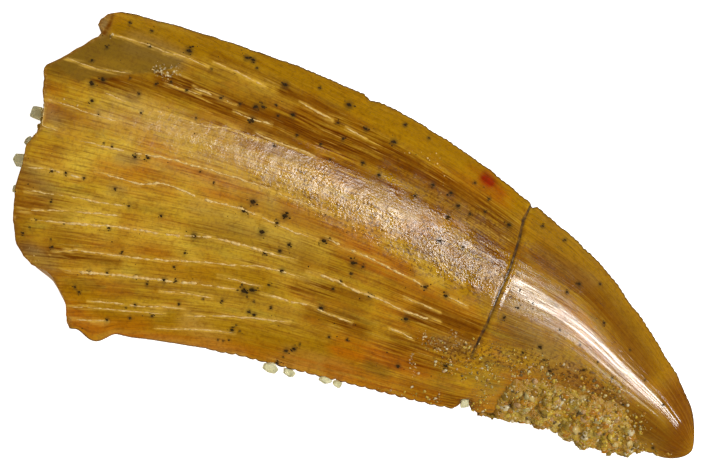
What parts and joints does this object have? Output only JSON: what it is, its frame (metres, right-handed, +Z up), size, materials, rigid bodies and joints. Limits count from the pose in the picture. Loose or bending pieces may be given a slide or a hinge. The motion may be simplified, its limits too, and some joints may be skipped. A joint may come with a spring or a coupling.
{
  "type": "fossil raptor tooth",
  "caption": "Curved, blade-shaped fossil tooth crown with serrated edges, a broken base packed with sandy matrix and a sand crust near the tip.",
  "frame": {"origin": "middle of the bounding box, at the surface that the tooth lies on", "axes": "+X along the crown to its tip, +Y to the convex front edge, +Z up from the flatter flank that it rests on"},
  "size_m": [0.0277, 0.0124, 0.0051],
  "materials": {
    "enamel": "glossy fossil enamel, mottled yellow to red-brown, with pale healed cracks and black mineral specks",
    "sandy_matrix": "rough cemented sand, tan with clear and pale grains",
    "quartz": "pale translucent quartz grain"
  },
  "bodies": {
    "root": {"tooth": "enamel", "base_matrix": "sandy_matrix", "sand_crust": "sandy_matrix", "edge_grain_1": "quartz", "edge_grain_2": "quartz", "edge_grain_3": "quartz", "edge_grain_4": "quartz", "edge_grain_5": "quartz", "base_grain_1": "quartz", "base_grain_2": "quartz", "base_grain_3": "quartz", "base_grain_4": "quartz"}
  },
  "joints": []
}
